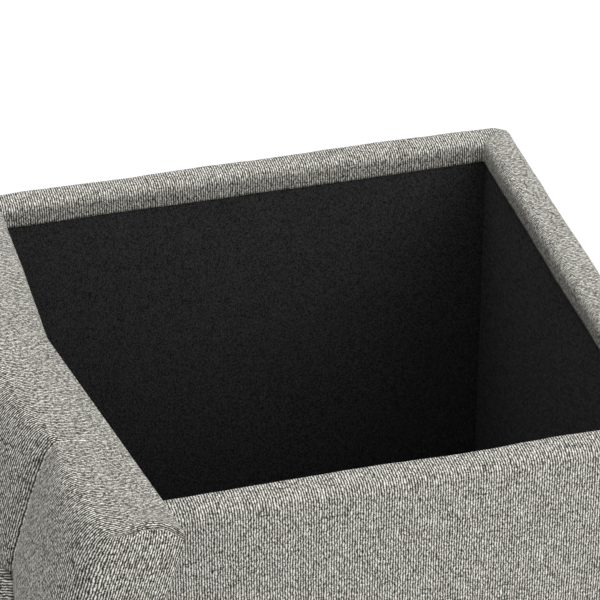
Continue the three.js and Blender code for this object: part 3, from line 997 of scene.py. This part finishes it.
def make_buttons():
    """Cloth pulled over a domed former and gathered under its edge."""
    outline = button_outline()
    corners = ((-1, -1), (1, -1), (1, 1), (-1, 1))
    for number, ((x, y), degrees) in enumerate(zip(corners, BUTTON_TURNS), 1):
        vertices = []
        for radius, height in outline[:-1]:
            for step in range(BUTTON_SEGMENTS):
                turn = 2 * math.pi * step / BUTTON_SEGMENTS
                gather = math.sin(turn * BUTTON_GATHERS + number) * max(0, 1 - height / GATHER_HEIGHT)
                reach = radius * (1 + GATHER_SHARE * gather)
                vertices.append((reach * math.cos(turn), reach * math.sin(turn), height))
        peak = len(vertices)
        vertices.append((0, 0, outline[-1][1]))
        base = len(vertices)
        vertices.append((0, 0, outline[0][1]))
        faces = []
        top = (len(outline) - 2) * BUTTON_SEGMENTS
        for level in range(len(outline) - 2):
            for step in range(BUTTON_SEGMENTS):
                after = (step + 1) % BUTTON_SEGMENTS
                low, high = level * BUTTON_SEGMENTS, (level + 1) * BUTTON_SEGMENTS
                faces.append((low + step, low + after, high + after, high + step))
        for step in range(BUTTON_SEGMENTS):
            after = (step + 1) % BUTTON_SEGMENTS
            faces.append((top + step, top + after, peak))
            faces.append((after, step, base))
        ribs = math.radians(degrees)
        cos, sin = math.cos(ribs), math.sin(ribs)
        flat = [(vx * cos - vy * sin, vx * sin + vy * cos) for vx, vy, _ in vertices]
        uvs = [[flat[index] for index in face] for face in faces]
        place = LID @ Matrix.Translation((x * TUFT_X, y * TUFT_Y, BUTTON_BASE))
        name = f"tuft_button_{number}"
        button = new_object(name, vertices, faces, "lid", LID_CLOTH_PAINTED_SHADE, uvs, place)
        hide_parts(f"button_{number}")


# ---- studio ----
FLOOR_REACH = 9
BRIGHT_SIDE = (0.62, -0.5, 0.6)  # where the surroundings are brightest
DARK_SIDE_SLOPE = -0.7
DARK_LEVEL = 0.15
BRIGHT_LEVEL = 0.95

CAMERA_AZIMUTH = math.radians(15.03)
CAMERA_ELEVATION = math.radians(33.55)
CAMERA_DISTANCE = 2.134
CAMERA_AIM = Vector((BOX_X - 4.6 * MM, BOX_Y + 15.9 * MM, RIM_Z))
LENS = 191.2
SENSOR = 36


def make_floor():
    mesh = bpy.data.meshes.new("floor")
    reach = FLOOR_REACH
    corners = [(-reach, -reach, 0), (reach, -reach, 0), (reach, reach, 0), (-reach, reach, 0)]
    mesh.from_pydata(corners, [], [(0, 1, 2, 3)])
    floor = bpy.data.objects.new("floor", mesh)
    bpy.context.scene.collection.objects.link(floor)
    g = Graph("pale_floor")
    pale = (0.97, 0.97, 0.97, 1)
    mesh.materials.append(g.set(Base_Color=pale, Roughness=0.9, Specular_IOR_Level=0.0))


def make_surroundings():
    world = bpy.data.worlds.new("studio")
    world.use_nodes = True
    tree = world.node_tree
    place = tree.nodes.new("ShaderNodeTexCoord")
    slope = tree.nodes.new("ShaderNodeVectorMath")
    slope.operation = "DOT_PRODUCT"
    slope.inputs[1].default_value = Vector(BRIGHT_SIDE).normalized()
    tree.links.new(place.outputs["Generated"], slope.inputs[0])
    level = tree.nodes.new("ShaderNodeMapRange")
    level.inputs["From Min"].default_value = DARK_SIDE_SLOPE
    level.inputs["From Max"].default_value = 1.0
    level.inputs["To Min"].default_value = DARK_LEVEL
    level.inputs["To Max"].default_value = BRIGHT_LEVEL
    tree.links.new(slope.outputs["Value"], level.inputs["Value"])
    tree.links.new(level.outputs["Result"], tree.nodes["Background"].inputs["Color"])
    bpy.context.scene.world = world
    bpy.context.scene.view_settings.view_transform = "Standard"


def make_lamp(name, place, size, power):
    """Round soft light aimed at the middle of the box's rim."""
    light = bpy.data.lights.new(name, "AREA")
    light.shape = "DISK"
    light.size = size
    light.energy = power
    lamp = bpy.data.objects.new(name, light)
    lamp.location = place
    towards = Vector((BOX_X, BOX_Y, RIM_Z)) - Vector(place)
    lamp.rotation_euler = towards.to_track_quat("-Z", "Y").to_euler()
    bpy.context.scene.collection.objects.link(lamp)


def make_studio():
    make_floor()
    make_surroundings()
    make_lamp("overhead", place=(BOX_X + 0.15, BOX_Y + 0.6, 2.9), size=2.2, power=38)
    make_lamp("front_right", place=(BOX_X + 1.3, BOX_Y - 2.5, 1.9), size=1.6, power=22)


def make_camera():
    data = bpy.data.cameras.new("camera")
    data.lens = LENS
    data.sensor_width = SENSOR
    data.clip_end = 100
    camera = bpy.data.objects.new("camera", data)
    level = math.cos(CAMERA_ELEVATION)
    forward = Vector((
        math.sin(CAMERA_AZIMUTH) * level, math.cos(CAMERA_AZIMUTH) * level, -math.sin(CAMERA_ELEVATION),
    ))
    camera.location = CAMERA_AIM - forward * CAMERA_DISTANCE
    camera.rotation_euler = forward.to_track_quat("-Z", "Y").to_euler()
    bpy.context.scene.collection.objects.link(camera)
    bpy.context.scene.camera = camera


make_camera()
make_studio()
finish_cad_nodes()
for turn, side in enumerate(SIDES):
    make_wall_cover(side, turn)
make_lining()
make_dust_sheet()
make_lid()
